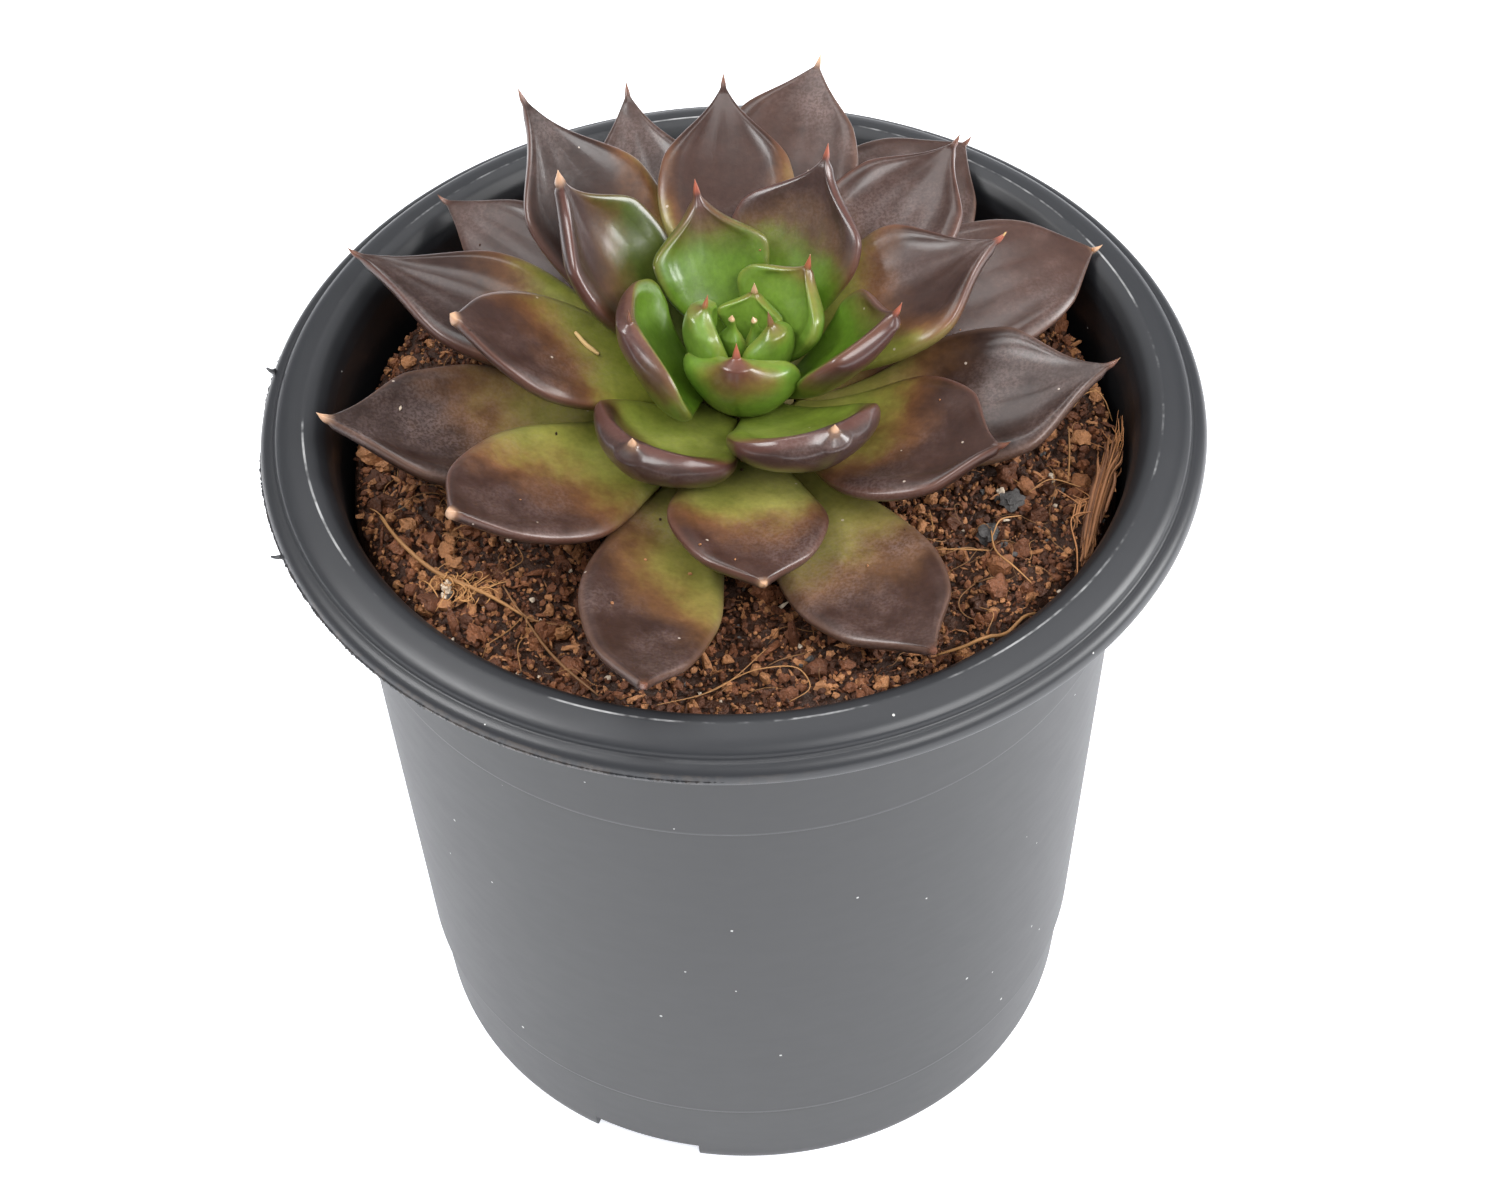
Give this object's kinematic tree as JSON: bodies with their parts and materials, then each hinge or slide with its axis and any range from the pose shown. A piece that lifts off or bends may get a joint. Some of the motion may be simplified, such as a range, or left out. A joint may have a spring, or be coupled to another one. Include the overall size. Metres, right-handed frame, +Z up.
{
  "type": "potted succulent",
  "caption": "Rosette succulent with thick, pointed, purple-brown leaves in a round plastic grower's pot with a rolled rim, filled with coir potting mix.",
  "frame": {"origin": "middle of the pot's foot, on the surface that the pot stands on", "axes": "+Z up along the pot's axis; the pictured front of the plant faces -Y"},
  "size_m": [0.1016, 0.1016, 0.1113],
  "materials": {
    "pot_plastic": "satin",
    "coir_mix": "matte",
    "husk": "matte",
    "stem_bark": "matte",
    "heart_wax": "satin",
    "outer_leaf_wax": "satin",
    "middle_leaf_wax": "satin",
    "upper_leaf_wax": "satin",
    "inner_leaf_wax": "satin"
  },
  "bodies": {
    "root": {"pot": "pot_plastic", "potting_mix": "coir_mix", "husk_chip": "husk", "stem": "stem_bark", "heart": "heart_wax", "outer_leaf_1": "outer_leaf_wax", "outer_leaf_2": "outer_leaf_wax", "outer_leaf_3": "outer_leaf_wax", "outer_leaf_4": "outer_leaf_wax", "outer_leaf_5": "outer_leaf_wax", "outer_leaf_6": "outer_leaf_wax", "outer_leaf_7": "outer_leaf_wax", "outer_leaf_8": "outer_leaf_wax", "outer_leaf_9": "outer_leaf_wax", "middle_leaf_1": "middle_leaf_wax", "middle_leaf_2": "middle_leaf_wax", "middle_leaf_3": "middle_leaf_wax", "middle_leaf_4": "middle_leaf_wax", "middle_leaf_5": "middle_leaf_wax", "middle_leaf_6": "middle_leaf_wax", "middle_leaf_7": "middle_leaf_wax", "middle_leaf_8": "middle_leaf_wax", "middle_leaf_9": "middle_leaf_wax", "upper_leaf_1": "upper_leaf_wax", "upper_leaf_2": "upper_leaf_wax", "upper_leaf_3": "upper_leaf_wax", "upper_leaf_4": "upper_leaf_wax", "inner_leaf_1": "inner_leaf_wax", "inner_leaf_2": "inner_leaf_wax", "inner_leaf_3": "inner_leaf_wax"}
  },
  "joints": []
}
